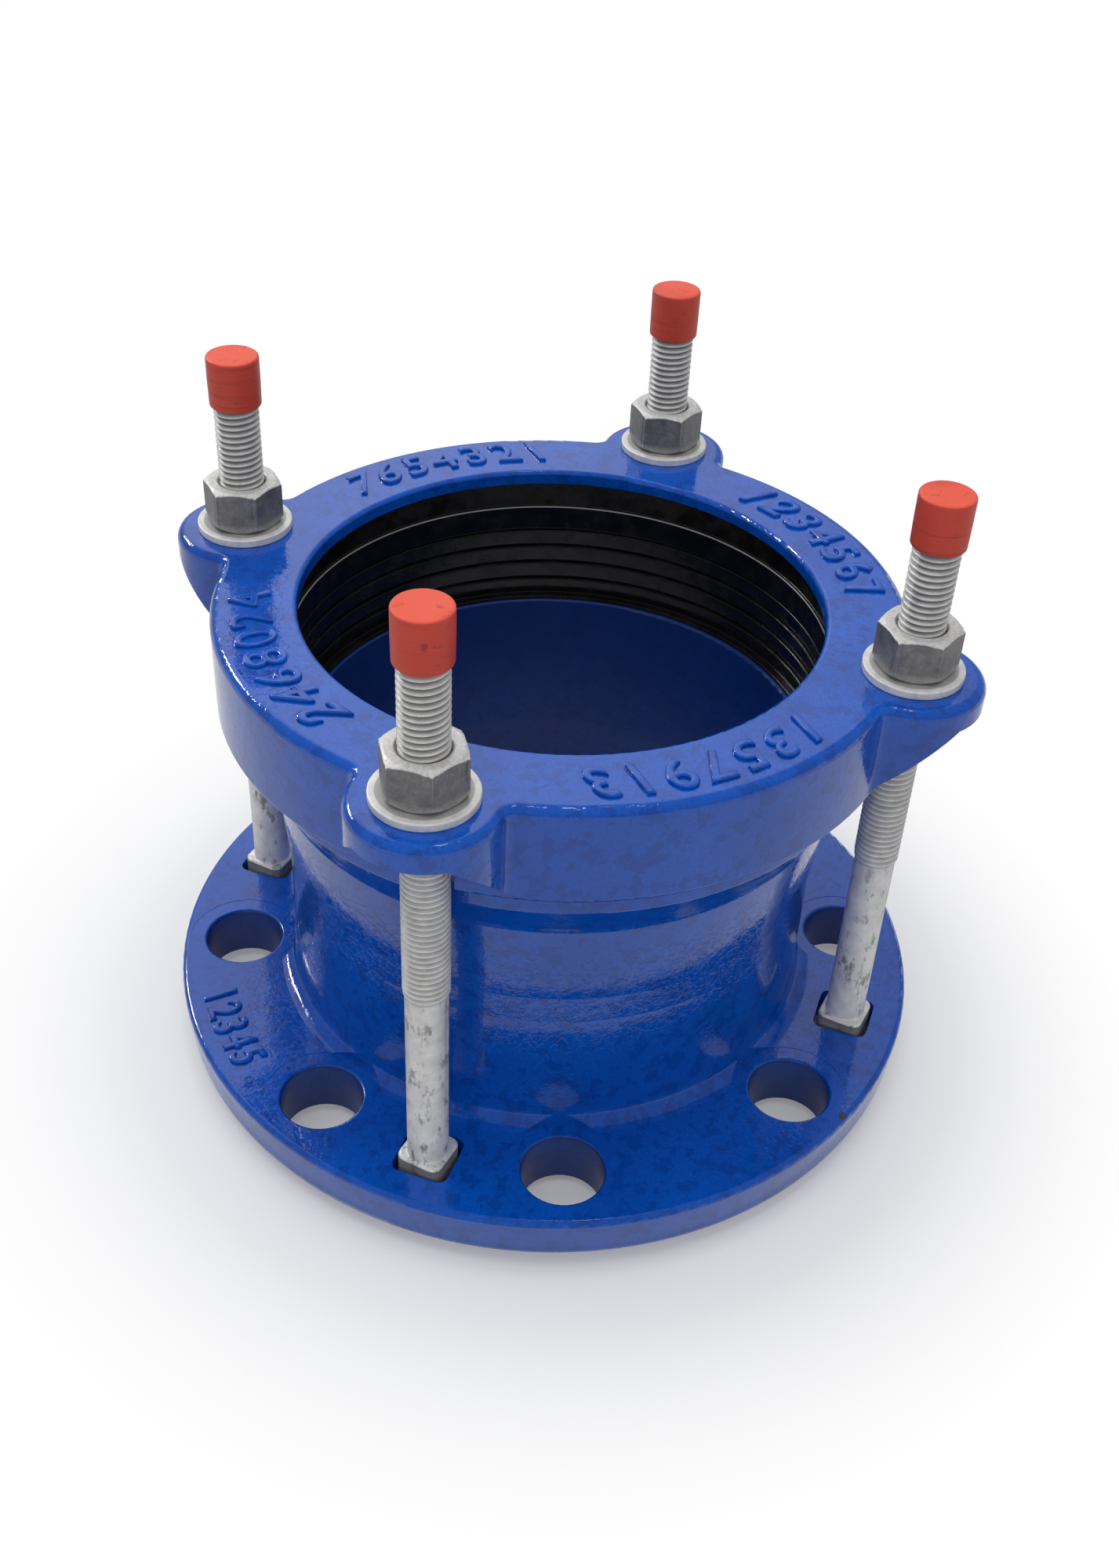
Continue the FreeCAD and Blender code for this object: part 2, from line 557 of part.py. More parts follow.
# Clamp bolt: a square head, a square neck, a plain shank and a threaded end
def make_bolt(number):
    body = new_body(f"bolt_{number + 1}")
    neck_top = f"({BOLT_NECK_TOP} - {HEAD_LOW})"
    shank_top = f"({neck_top} + Sizes.shank_length)"
    bolt_top = f"({shank_top} + Sizes.thread_length)"
    sketch = new_sketch(body, "head_outline")
    draw_square(sketch, "0", "Sizes.head_side")
    pad(body, "head", sketch, "Sizes.head_thickness")
    round_edges(body, "head_corners", is_upright, "Sizes.head_corner")
    sketch = new_sketch(body, "neck_outline", height="Sizes.head_thickness")
    draw_square(sketch, "0", "Sizes.neck_side")
    pad(body, "square_neck", sketch, f"{neck_top} - Sizes.head_thickness")
    neck_level = value(neck_top)
    head_level = value("Sizes.head_thickness")

    def is_neck_corner(edge):
        return is_upright(edge) and middle_of(edge).z > head_level

    def is_neck_top(edge):
        return is_level(edge, neck_level)

    round_edges(body, "neck_corners", is_neck_corner, "Sizes.neck_corner")
    round_edges(body, "neck_top_edge", is_neck_top, "Sizes.neck_top_round")
    revolve(body, "rod", (
        ("0", "Sizes.head_thickness"),
        ("Sizes.shank_radius", "Sizes.head_thickness"),
        ("Sizes.shank_radius", shank_top),
        ("Sizes.thread_radius", f"{shank_top} + Sizes.thread_chamfer"),
        ("Sizes.thread_radius", f"{bolt_top} - Sizes.thread_chamfer"),
        ("Sizes.thread_radius - Sizes.thread_chamfer", bolt_top),
        ("0", bolt_top),
    ))
    stand_at_bolt(body, number, HEAD_LOW, BOLT_TURN)
    return body


# Washer between the lug and the nut
def make_washer(number):
    body = new_body(f"washer_{number + 1}")
    hole = "(Sizes.thread_radius + Sizes.washer_hole_gap)"
    revolve(body, "plate", (
        (hole, "0"),
        ("Sizes.washer_radius", "0"),
        ("Sizes.washer_radius", "Sizes.washer_thickness"),
        (hole, "Sizes.washer_thickness"),
    ))
    round_ring_edge(body, "outer_edge", "Sizes.washer_radius", "Sizes.washer_thickness",
                    "Sizes.washer_round")
    stand_at_bolt(body, number, RING_TOP, 0)
    return body


# Hexagon nut with chamfered corners at both ends
def make_nut(number):
    body = new_body(f"nut_{number + 1}")
    corner_radius = "(Sizes.nut_flats / sqrt(3))"
    corner_angles = [60 * side + 30 for side in range(6)]
    sketch = new_sketch(body, "hexagon")
    draw_outline(sketch, [(f"{corner_radius} * cos({angle})", f"{corner_radius} * sin({angle})")
                          for angle in corner_angles])
    pad(body, "blank", sketch, "Sizes.nut_height")
    crown_radius = "(Sizes.nut_flats / 2 - Sizes.nut_crown_inset)"
    crown_drop = f"(({corner_radius} - {crown_radius}) * tan({NUT_CROWN_SLOPE}))"
    foot_rise = f"(({corner_radius} - {crown_radius}) * tan({NUT_FOOT_SLOPE}))"
    crown_end = f"(2 * {corner_radius} - {crown_radius})"
    revolve(body, "upper_crown", (
        (crown_radius, "Sizes.nut_height"),
        (crown_end, f"Sizes.nut_height - 2 * {crown_drop}"),
        (crown_end, "Sizes.nut_height"),
    ), cut=True)
    revolve(body, "lower_crown", (
        (crown_radius, "0"),
        (crown_end, f"2 * {foot_rise}"),
        (crown_end, "0"),
    ), cut=True)
    mouth_radius = f"({THREAD_HOLE} + Sizes.nut_mouth)"
    revolve(body, "thread_hole", (
        ("0", "0"),
        (mouth_radius, "0"),
        (THREAD_HOLE, "Sizes.nut_mouth"),
        (THREAD_HOLE, "Sizes.nut_height - Sizes.nut_mouth"),
        (mouth_radius, "Sizes.nut_height"),
        ("0", "Sizes.nut_height"),
    ), cut=True)
    stand_at_bolt(body, number, WASHER_TOP, NUT_TURNS[number] - 360 / BOLT_COUNT * number)
    return body


# Plastic cap over the end of the thread
def make_cap(number):
    body = new_body(f"thread_cap_{number + 1}")
    cap_radius = f"({THREAD_HOLE} + Sizes.cap_wall)"
    inner_end = "(Sizes.cap_length - Sizes.cap_end)"
    revolve(body, "moulding", (
        (THREAD_HOLE, "0"),
        (cap_radius, "0"),
        (cap_radius, "Sizes.cap_length"),
        ("0", "Sizes.cap_length"),
        ("0", inner_end),
        (THREAD_HOLE, inner_end),
    ))
    round_ring_edge(body, "closed_end_edge", cap_radius, "Sizes.cap_length", "Sizes.cap_round")
    stand_at_bolt(body, number, f"{CAP_TOP} - Sizes.cap_length", 0)
    return body


bodies = [make_flange_body(), make_gland_ring(), make_gasket()]
for maker in (make_bolt, make_washer, make_nut, make_cap):
    for number in range(BOLT_COUNT):
        bodies.append(maker(number))
doc.recompute()

# Every object is checked before anything is written
for item in doc.Objects:
    if "Invalid" in item.State or "Error" in item.State:
        raise RuntimeError(f"{item.Label} failed: {item.State}")
for body in bodies:
    if body.Shape.isNull() or not body.Shape.isValid() or len(body.Shape.Solids) != 1:
        raise RuntimeError(f"{body.Label} is not one valid solid")

os.makedirs("parts", exist_ok=True)
for body in bodies:
    body.Shape.exportStep(f"parts/{body.Label}.step")
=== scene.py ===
"""The looks of a universal flange adaptor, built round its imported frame, in metres."""
import math

import bmesh
import bpy
import numpy as np
from mathutils import Matrix, Vector


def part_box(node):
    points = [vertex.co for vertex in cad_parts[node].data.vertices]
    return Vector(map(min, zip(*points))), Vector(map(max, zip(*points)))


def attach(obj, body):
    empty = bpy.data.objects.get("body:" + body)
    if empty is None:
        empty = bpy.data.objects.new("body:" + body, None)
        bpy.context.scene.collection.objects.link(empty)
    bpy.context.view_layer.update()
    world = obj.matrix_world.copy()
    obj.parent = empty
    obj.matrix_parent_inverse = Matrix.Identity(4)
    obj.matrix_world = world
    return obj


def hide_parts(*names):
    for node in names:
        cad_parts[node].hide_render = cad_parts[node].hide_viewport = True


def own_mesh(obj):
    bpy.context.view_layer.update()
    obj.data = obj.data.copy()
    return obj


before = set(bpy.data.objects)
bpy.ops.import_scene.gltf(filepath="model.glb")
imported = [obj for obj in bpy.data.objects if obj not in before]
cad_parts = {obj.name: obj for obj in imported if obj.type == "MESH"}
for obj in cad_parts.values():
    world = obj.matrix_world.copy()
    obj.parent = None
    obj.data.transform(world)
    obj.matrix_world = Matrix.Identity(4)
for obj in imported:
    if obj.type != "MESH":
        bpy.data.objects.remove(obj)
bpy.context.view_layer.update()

# Viewpoint of the photograph
VIEW_TARGET = Vector((0.001671, 0.000529, 0.077206))
VIEW_DISTANCE = 0.48723
VIEW_AZIMUTH = math.radians(17.563)
VIEW_ELEVATION = math.radians(37.72)
VIEW_ROLL = 0.0516
LENS = 38.95
SENSOR_HEIGHT = 36
CLIP_START = 0.01

# Floor: where the shadow starts to fade and where plain white starts, how much of the white is laid over
# the shadow outside the bore, and how bright the floor is in glossy surfaces and from which radius
FLOOR_HALF = 12
FLOOR_DROP = 0.0001
SHADOW_RADIUS = 0.114
WHITE_RADIUS = 0.185
NEAR_WHITE = 0.2
NEAR_FADE = 0.01
MIRROR_RADIUS = 0.112
MIRROR_FADE = 0.002
MIRRORED_FLOOR = 0.85

# Studio: its light on dull surfaces, the side that glossy surfaces see as bright, and how bright it is to
# them for how closely they mirror that side
STUDIO_LIGHT = 0.5
BRIGHT_SIDE = Vector((-0.42, 0.65, 0.63))
STUDIO_RAMP = {"From Min": 0.85, "From Max": 0.985, "To Min": 0.35, "To Max": 1.5}
LAMP_TARGET = (0, 0, 0.1)

# Bolts: a square head and neck, a plain shank and a thread
BOLT_TURN = math.radians(-8)
HEAD_HALF = 0.009
HEAD_CORNER = 0.002
HEAD_THICKNESS = 0.0066
HEAD_EDGE = 0.0004
NECK_HALF = 0.0065
NECK_CORNER = 0.0026
NECK_EDGE = 0.0008
NECK_EDGE_STEPS = 4
NECK_RISE = 0.0027
SHANK_RADIUS = 0.0055
SHANK_LENGTH = 0.0576
SHANK_FILLET = 0.0005
SHANK_FILLET_STEPS = 3
THREAD_RADIUS = 0.006
THREAD_DEPTH = 0.00105
THREAD_PITCH = 0.00175
THREAD_CHAMFER = 0.0011
# Pitches over which the thread's groove reaches its full depth
THREAD_RUN_IN = 2.5
# Share of the thread's depth at equal steps through one pitch, from one crest to the next
THREAD_FORM = (0, 0, 0.1, 0.45, 0.9, 1, 0.75, 0.3)
# Height above the flange from which the groove holds all its painted shade and dirt, and its share of them
# below that
THREAD_SHADE_AND_DIRT_FROM = 0.11
THREAD_SHADE_AND_DIRT_LOW = 0.45
# Levels between which the stains of the zinc grow faint, and how faint they are above
STAIN_LOW = 0.07
STAIN_HIGH = 0.085
STAIN_FAINT = 0.15
BOLT_COLUMNS = 48
FLANGE_TOP = 0.019

# Nuts: the pale band of wear and painted highlight reaches a little below the shoulder where the crown
# starts, and the top face is pale with painted highlight
NUT_TURNS = [math.radians(turn) for turn in (39.0, 40.5, 46.5, 32.5)]
NUT_FLATS = 0.019
NUT_CORNER = 0.0007
NUT_CROWN_RADIUS = 0.0091
NUT_CROWN_SLOPE = math.radians(30)
NUT_FOOT_SLOPE = math.radians(45)
NUT_HOLE = 0.00605
NUT_MOUTH = 0.0007
NUT_PALE_BAND = 0.0003
NUT_RUBBED_FOOT = 0.3
NUT_WEAR_AND_HIGHLIGHT_CROWN = 0.8
NUT_WEAR_AND_HIGHLIGHT_MOUTH = 0.75
NUT_BLUNTING = 0.0003
NUT_COLUMNS = 96

# Washers, with painted shade and dirt out to a radius round the nut
WASHER_HOLE = 0.0065
WASHER_EDGE = 0.0004
WASHER_SHADE_AND_DIRT_RADIUS = 0.0113
WASHER_SHADE_AND_DIRT = 0.6

# Caps, a little narrower at the mouth, and a smudge on one of them
CAP_WALL = 0.0009
CAP_END = 0.0015
CAP_EDGE = 0.0008
CAP_MOUTH_SHARE = 0.985
SMUDGE_PLACE = Vector((0.0031, -0.0995, 0.1846))
SMUDGE_RADIUS = 0.0011
SMUDGE_STRENGTH = 0.7

# Gasket: each lip has a face that leans in towards its top and a groove above that
GASKET_INNER = 0.0723
LIP_COUNT = 4
LIP_PITCH = 0.0057
LIP_FACE = 0.005
LIP_LEAN = 0.0007
LIP_RELIEF = 0.0017
LIP_ROUND = 0.0003
# How near to the step's edge the painted highlight, a pale line, reaches, in roundings of that edge
PALE_LINE_REACH = 1.02
HEEL_RADIUS = 0.0704
HEEL_HEIGHT = 0.001
GASKET_STEP_DROP = 0.0092
GASKET_STEP = 0.0009
GASKET_LEAD_IN = 0.0026
SOCKET_TOP = 0.112
# Where the hidden outer cone starts: low enough to stay clear of the ring when the gasket is squeezed
GASKET_CONE_START = 0.119
GASKET_GAP = 0.0004
MOUTH_RADIUS = 0.0805
SEAT_RADIUS = 0.0752
GASKET_CONE_RADIUS = 0.08
GASKET_COLUMNS = 256

# Raised numerals: the ring's stand between its lugs, with their tops outward
RING_DIGITS = ("1234567", "7654321", "2468024", "1357913")
RING_DIGIT_HEIGHT = 0.0105
RING_DIGIT_RADIUS = 0.0765
FLANGE_DIGITS = "12345"
FLANGE_DIGIT_HEIGHT = 0.0095
FLANGE_DIGIT_RADIUS = 0.1045
FLANGE_DIGIT_ANGLE = math.radians(225)
FLANGE_DIGIT_WIDTH = 0.78
DIGIT_RISE = 0.0009
DIGIT_SOFTNESS = 0.0005
DIGIT_WEIGHT = 0.00035
DIGIT_SPACING = 1.25
# Height of a digit as a share of the font's size
DIGIT_SHARE = 0.7

# The dull coat of the bore and the holes, and the painted shade that darkens them: its edges, the levels
# between which the painted shade in the bore grows darker upward with how dark it is there, and how softly
# it ends outward and upward
BORE_EDGE = 0.0705
BORE_TOP = 0.1
BORE_SHADE_LEVELS = (0.02, 0.09, 0.2, 0.78)
HOLE_CIRCLE = 0.092
HOLE_EDGE = 0.0114
HOLE_STEP = math.radians(45)
HOLE_SHADE = 0.6
COAT_FADE = 0.0003
COAT_FADE_UP = 0.001
DULL_ROUGHNESS = 0.3

# A chip in the paint on the flange's edge, and how ragged the outline of a spot is
CHIP_PLACE = Vector((0.1012, -0.0392, 0.0185))
CHIP_RADIUS = 0.0013
CHIP_FADE = 0.0003
RAGGEDNESS = 0.0006

# Angles between faces from which an edge is sharp: on turned pieces and nuts, and on threads and numerals.
# From the third one the nuts' edges are blunted.
SHARP_EDGE = math.radians(35)
FINE_SHARP_EDGE = math.radians(50)
BLUNTED_EDGE = math.radians(25)
# Points closer than this are welded: of built meshes and of the font's
WELD = 1e-7
DIGIT_WELD = 1e-6
# Most that a rounded corner takes of a side, and how far beyond its ends the support points lie, as shares
CORNER_SHARE = 0.45
SUPPORT = 0.08
ROUND_COLUMNS = 96

BOLT_NUMBERS = (1, 2, 3, 4)


class Nodes:
    """A material's node tree, with one short call for each kind of node."""

    def __init__(self, name):
        self.material = bpy.data.materials.new(name)
        self.material.use_nodes = True
        self.tree = self.material.node_tree
        self.shader = self.tree.nodes["Principled BSDF"]
        self.place = self.add("TexCoord").outputs["Object"]

    def add(self, kind, inputs=None, **settings):
        node = self.tree.nodes.new(f"ShaderNode{kind}")
        for key, setting in settings.items():
            setattr(node, key, setting)
        for key, source in (inputs or {}).items():
            self.feed(node.inputs[key], source)
        return node

    def feed(self, socket, source):
        """Sets a socket to a number or colour, or links it to another node's output."""
        if isinstance(source, bpy.types.NodeSocket):
            self.tree.links.new(source, socket)
        else:
            socket.default_value = source

    def set(self, **sources):
        """Feeds the shader's own sockets, each named with its spaces left out."""
        names = {socket.name.replace(" ", ""): socket for socket in self.shader.inputs}
        for key, source in sources.items():
            self.feed(names[key], source)

    def stretched(self, scale):
        """The surface's own coordinates, scaled by a factor along each axis."""
        return self.add("Mapping", {"Vector": self.place, "Scale": scale}).outputs["Vector"]

    def noise(self, scale, detail=3.0, roughness=0.5, vector=None):
        inputs = {"Vector": vector or self.place, "Scale": scale, "Detail": detail, "Roughness": roughness}
        return self.add("TexNoise", inputs).outputs["Fac"]

    def ramp(self, factor, low, high, from_value=0.0, to_value=1.0):
        """A number that runs from one value to another while the factor runs from low to high."""
        ends = {"From Min": low, "From Max": high, "To Min": from_value, "To Max": to_value}
        return self.add("MapRange", {"Value": factor, **ends}).outputs["Result"]

    def mix(self, factor, first, second):
        node = self.add("Mix", data_type="RGBA")
        colours = [socket for socket in node.inputs if socket.type == "RGBA"]
        self.feed(node.inputs["Factor"], factor)
        self.feed(colours[0], first)
        self.feed(colours[1], second)
        return next(socket for socket in node.outputs if socket.type == "RGBA")

    def math(self, operation, first, second):
        node = self.add("Math", operation=operation)
        self.feed(node.inputs[0], first)
        self.feed(node.inputs[1], second)
        return node.outputs[0]

    def attribute(self, name):
        return self.add("Attribute", attribute_name=name).outputs["Fac"]

    def spot(self, place, grain, edge, middle, strength=1.0):
        """A ragged spot about a place: nothing beyond its edge's radius, full within its middle's."""
        apart = self.add("VectorMath", {0: self.place, 1: place}, operation="DISTANCE").outputs["Value"]
        ragged = self.ramp(self.noise(grain, 3), 0.3, 0.7, -RAGGEDNESS, RAGGEDNESS)
        return self.ramp(self.math("ADD", apart, ragged), edge, middle, 0, strength)

    def bump(self, height, distance, normal=None):
        inputs = {"Height": height, "Distance": distance, "Strength": 1.0}
        if normal is not None:
            inputs["Normal"] = normal
        return self.add("Bump", inputs).outputs["Normal"]


def rgb(red, green, blue):
    return (red, green, blue, 1.0)


# Materials
def hole_distance(nodes, radius):
    """How far a point of the casting is from the axis of the nearest flange hole, seen from above."""
    axes = nodes.add("SeparateXYZ", {"Vector": nodes.place}).outputs
    angle = nodes.math("SUBTRACT", nodes.math("ARCTAN2", axes["Y"], axes["X"]), HOLE_STEP / 2)
    off_hole = nodes.math("PINGPONG", angle, HOLE_STEP / 2)
    outward = nodes.math("MULTIPLY", radius, nodes.math("COSINE", off_hole, 0))
    along = nodes.math("SUBTRACT", outward, HOLE_CIRCLE)
    across = nodes.math("MULTIPLY", radius, nodes.math("SINE", off_hole, 0))
    squares = [nodes.math("MULTIPLY", side, side) for side in (along, across)]
    return nodes.math("SQRT", nodes.math("ADD", *squares), 0)


def blue_paint():
    """Thick glossy epoxy on a rough casting: waves, runs and fine pits; duller and darker with painted
    shade in the bore and holes.
    """
    nodes = Nodes("blue_paint")
    cloud = nodes.ramp(nodes.noise(38, 4), 0.35, 0.65)
    colour = nodes.mix(cloud, rgb(0.0015, 0.073, 0.43), rgb(0.002, 0.094, 0.53))
    blotches = nodes.ramp(nodes.noise(210, 5, 0.62), 0.535, 0.553)
    colour = nodes.mix(nodes.math("MULTIPLY", blotches, 0.5), colour, rgb(0.001, 0.042, 0.28))
    grain = nodes.ramp(nodes.noise(1400, 3, 0.7), 0.38, 0.62, 0, 0.34)
    colour = nodes.mix(grain, colour, rgb(0.001, 0.03, 0.24))
    radius = nodes.add("VectorMath", {0: nodes.stretched((1, 1, 0))}, operation="LENGTH").outputs["Value"]
    level = nodes.add("SeparateXYZ", {"Vector": nodes.place}).outputs["Z"]
    bore = nodes.math("MULTIPLY", nodes.ramp(radius, BORE_EDGE + COAT_FADE, BORE_EDGE),
                      nodes.ramp(level, BORE_TOP + COAT_FADE_UP, BORE_TOP))
    off_hole = hole_distance(nodes, radius)
    hole = nodes.math("MULTIPLY", nodes.ramp(off_hole, HOLE_EDGE + COAT_FADE, HOLE_EDGE),
                      nodes.ramp(level, FLANGE_TOP + COAT_FADE_UP, FLANGE_TOP))
    dull = nodes.math("MAXIMUM", bore, hole)
    # Painted shade: the bore, darker towards its top, and the holes get a darker blue
    painted_shade = nodes.math("MAXIMUM", nodes.math("MULTIPLY", bore, nodes.ramp(level, *BORE_SHADE_LEVELS)),
                      nodes.math("MULTIPLY", hole, HOLE_SHADE))
    colour = nodes.mix(painted_shade, colour, rgb(0.002, 0.018, 0.11))

    waves = nodes.bump(nodes.noise(75, 2, 0.5), 0.00004)
    runs = nodes.bump(nodes.ramp(nodes.noise(240, 4, 0.55), 0.3, 0.7), 0.000022, waves)
    pits = nodes.bump(nodes.ramp(nodes.noise(650, 3, 0.6), 0.50, 0.60), 0.000016, runs)
    gloss = nodes.ramp(nodes.noise(150, 4), 0.4, 0.7, 0.03, 0.09)

    chip = nodes.spot(CHIP_PLACE, 900, CHIP_RADIUS, CHIP_RADIUS - CHIP_FADE)
    colour = nodes.mix(chip, colour, rgb(0.045, 0.04, 0.04))
    rougher = nodes.math("MULTIPLY", nodes.math("ADD", chip, dull), DULL_ROUGHNESS)
    rough = nodes.math("ADD", gloss, rougher)
    nodes.set(BaseColor=colour, Roughness=rough, Normal=pits, IOR=1.5)
    return nodes.material


def zinc_coat():
    """Dull zinc on the bolts and washers: pale, mottled, darker with painted shade and dirt in grooves and
    round the nuts.
    """
    nodes = Nodes("zinc_coat")
    cloud = nodes.ramp(nodes.noise(260, 5, 0.6), 0.35, 0.65)
    pale = nodes.mix(cloud, rgb(0.62, 0.62, 0.62), rgb(0.79, 0.785, 0.77))
    stains = nodes.ramp(nodes.noise(330, 6, 0.65, nodes.stretched((1, 1, 0.45))), 0.55, 0.64)
    level = nodes.add("SeparateXYZ", {"Vector": nodes.place}).outputs["Z"]
    stains = nodes.math("MULTIPLY", stains, nodes.ramp(level, STAIN_LOW, STAIN_HIGH, 1, STAIN_FAINT))
    stained = nodes.mix(stains, pale, rgb(0.27, 0.275, 0.28))
    # Painted shade and dirt: darker in the thread's grooves, on the neck's sides and round the nut on each
    # washer
    groove = nodes.math("MULTIPLY", nodes.attribute("groove"), 0.88)
    colour = nodes.mix(groove, stained, rgb(0.14, 0.136, 0.13))
    rough = nodes.ramp(cloud, 0, 1, 0.40, 0.56)
    grain = nodes.bump(nodes.noise(1500, 4, 0.6), 0.00006)
    nodes.set(BaseColor=colour, Roughness=rough, Normal=grain, Metallic=0.25)
    return nodes.material


def nut_zinc():
    """Darker, rougher zinc on the nuts, pale along the edges and on top with wear and painted highlight.
    """
    nodes = Nodes("nut_zinc")
    cloud = nodes.ramp(nodes.noise(300, 5, 0.6), 0.35, 0.68)
    dull = nodes.mix(cloud, rgb(0.14, 0.14, 0.142), rgb(0.245, 0.24, 0.24))
    speckle = nodes.ramp(nodes.noise(1000, 4, 0.65), 0.42, 0.66, 0, 0.45)
    dull = nodes.mix(speckle, dull, rgb(0.09, 0.09, 0.09))
    # Wear and painted highlight: the pale colour of the edges and the top face
    worn_and_highlit = nodes.mix(speckle, rgb(0.80, 0.79, 0.78), rgb(0.36, 0.355, 0.35))
    colour = nodes.mix(nodes.attribute("edge"), dull, worn_and_highlit)
    grain = nodes.bump(nodes.noise(1300, 4, 0.65), 0.0001)
    nodes.set(BaseColor=colour, Roughness=nodes.ramp(cloud, 0, 1, 0.44, 0.58), Normal=grain, Metallic=0.3)
    return nodes.material


def red_plastic():
    """Soft red plastic with the fine level ridges of its mould, a top made brighter by painted highlight,
    and dark scuffs.
    """
    nodes = Nodes("red_plastic")
    fade = nodes.noise(120, 3)
    colour = nodes.mix(fade, rgb(0.50, 0.052, 0.034), rgb(0.62, 0.078, 0.050))
    # Painted highlight: the cap's top is a brighter red
    colour = nodes.mix(nodes.attribute("edge"), colour, rgb(0.76, 0.100, 0.058))
    scuffs = nodes.ramp(nodes.noise(300, 6, 0.72, nodes.stretched((1, 1, 2.6))), 0.59, 0.68)
    lines = nodes.ramp(nodes.noise(900, 2, 0.5, nodes.stretched((0.03, 0.03, 1))), 0.58, 0.68)
    dirt = nodes.math("MAXIMUM", nodes.math("MULTIPLY", scuffs, 0.6), nodes.math("MULTIPLY", lines, 0.35))
    smudge = nodes.spot(SMUDGE_PLACE, 1200, SMUDGE_RADIUS, SMUDGE_RADIUS / 3, SMUDGE_STRENGTH)
    dirt = nodes.math("MAXIMUM", dirt, smudge)
    ridges = nodes.bump(nodes.noise(1400, 2, 0.5, nodes.stretched((0.02, 0.02, 1))), 0.00006)
    nodes.set(BaseColor=nodes.mix(dirt, colour, rgb(0.22, 0.03, 0.022)), Normal=ridges, IOR=1.35,
              Roughness=nodes.ramp(fade, 0.3, 0.7, 0.42, 0.55))
    return nodes.material


def black_rubber():
    """Moulded rubber, a little dusty, glossy where the lips are worn, with a painted highlight as a pale
    line along its step.
    """
    nodes = Nodes("black_rubber")
    dust = nodes.ramp(nodes.noise(180, 4), 0.4, 0.7)
    colour = nodes.mix(dust, rgb(0.0045, 0.0045, 0.0045), rgb(0.010, 0.0098, 0.0095))
    # Painted highlight: a pale line along the step's edge
    colour = nodes.mix(nodes.attribute("edge"), colour, rgb(0.34, 0.34, 0.34))
    skin = nodes.bump(nodes.noise(150, 2), 0.00012)
    nodes.set(BaseColor=colour, Roughness=nodes.ramp(dust, 0, 1, 0.16, 0.36), Normal=skin, IOR=1.42)
    return nodes.material


# Meshes
def mesh_from(name, vertices, faces, values=None, sharp=SHARP_EDGE):
    """A welded mesh, smooth but for its sharp edges, with an optional named number at each vertex."""
    building = bmesh.new()
    layer = building.verts.layers.float.new(values[0]) if values else None
    for number, vertex in enumerate(vertices):
        made = building.verts.new(vertex)
        if layer:
            made[layer] = float(values[1][number])
    building.verts.ensure_lookup_table()
    for face in faces:
        building.faces.new([building.verts[corner] for corner in face])
    bmesh.ops.remove_doubles(building, verts=building.verts, dist=WELD)
    bmesh.ops.recalc_face_normals(building, faces=building.faces)
    mesh = bpy.data.meshes.new(name)
    building.to_mesh(mesh)
    building.free()
    mesh.shade_smooth()
    mesh.set_sharp_from_angle(angle=sharp)
    return mesh


def ring_faces(rows, columns, first=0, closed=False):
    """Faces between rings of points that follow each other, the last joined to the first if closed."""
    faces = []
    for row in range(rows if closed else rows - 1):
        here = first + row * columns
        there = first + (row + 1) % rows * columns
        for column in range(columns):
            after = (column + 1) % columns
            faces.append((here + column, here + after, there + after, there + column))
    return faces


def lathe(name, profile, centre, columns, values=None):
    """A closed profile of (radius, height) turned about an upright axis."""
    angles = np.arange(columns) * 2 * math.pi / columns
    points = [(centre[0] + radius * math.cos(angle), centre[1] + radius * math.sin(angle), height)
              for radius, height in profile for angle in angles]
    spread = None
    if values:
        spread = (values[0], np.repeat(values[1], columns))
    return mesh_from(name, points, ring_faces(len(profile), columns, closed=True), spread)


def soften(points, radius, steps=4):
    """
    A closed outline with its corners, but for those on the axis, turned into short curves. A point beyond
    each end of a curve keeps the long sides flat when they are shaded smooth.
    """
    points = [np.array(point, float) for point in points]
    softened = []
    for number, corner in enumerate(points):
        if corner[0] == 0:
            softened.append(corner)
            continue
        before = points[number - 1] - corner
        after = points[(number + 1) % len(points)] - corner
        reach = min(radius, np.linalg.norm(before) * CORNER_SHARE, np.linalg.norm(after) * CORNER_SHARE)
        start = corner + before / np.linalg.norm(before) * reach
        end = corner + after / np.linalg.norm(after) * reach
        softened.append(start + (start - corner) * SUPPORT)
        for step in range(steps + 1):
            share = step / steps
            softened.append((1 - share) ** 2 * start + 2 * share * (1 - share) * corner + share ** 2 * end)
        softened.append(end + (end - corner) * SUPPORT)
    return softened


def near(outline, spot, reach):
    """1 for each point of an outline that lies close to a spot, and 0 for the others."""
    return [float(np.linalg.norm(point - np.array(spot)) < reach) for point in outline]


def piece(name, mesh, body, material, replaced=None):
    """A finished mesh that rides on a body, takes a slot's finish and may stand for a CAD node."""
    obj = bpy.data.objects.new(name, mesh)
    bpy.context.scene.collection.objects.link(obj)
    mesh.materials.append(material)
    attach(obj, body)
    if replaced:
        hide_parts(replaced)
    return obj


def axis_of(node):
    """The upright axis through the middle of a CAD node, and its lowest and highest level."""
    low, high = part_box(node)
    return ((low.x + high.x) / 2, (low.y + high.y) / 2), low.z, high.z


# Clamp bolts
def rounded_square(half, corner, columns):
    """Points round a square with rounded corners, from the middle of its first side."""
    inner = half - corner
    flat_steps = columns // 16
    arc_steps = columns // 8
    quarter = [(half, inner * step / flat_steps) for step in range(flat_steps)]
    for step in range(arc_steps):
        angle = math.pi / 2 * step / arc_steps
        quarter.append((inner + corner * math.cos(angle), inner + corner * math.sin(angle)))
    quarter += [(inner * (1 - step / flat_steps), half) for step in range(flat_steps)]
    points = []
    for _ in range(4):
        points += quarter
        quarter = [(-y, x) for x, y in quarter]
    return points


def circle(radius, columns):
    angles = [2 * math.pi * column / columns for column in range(columns)]
    return [(radius * math.cos(angle), radius * math.sin(angle)) for angle in angles]


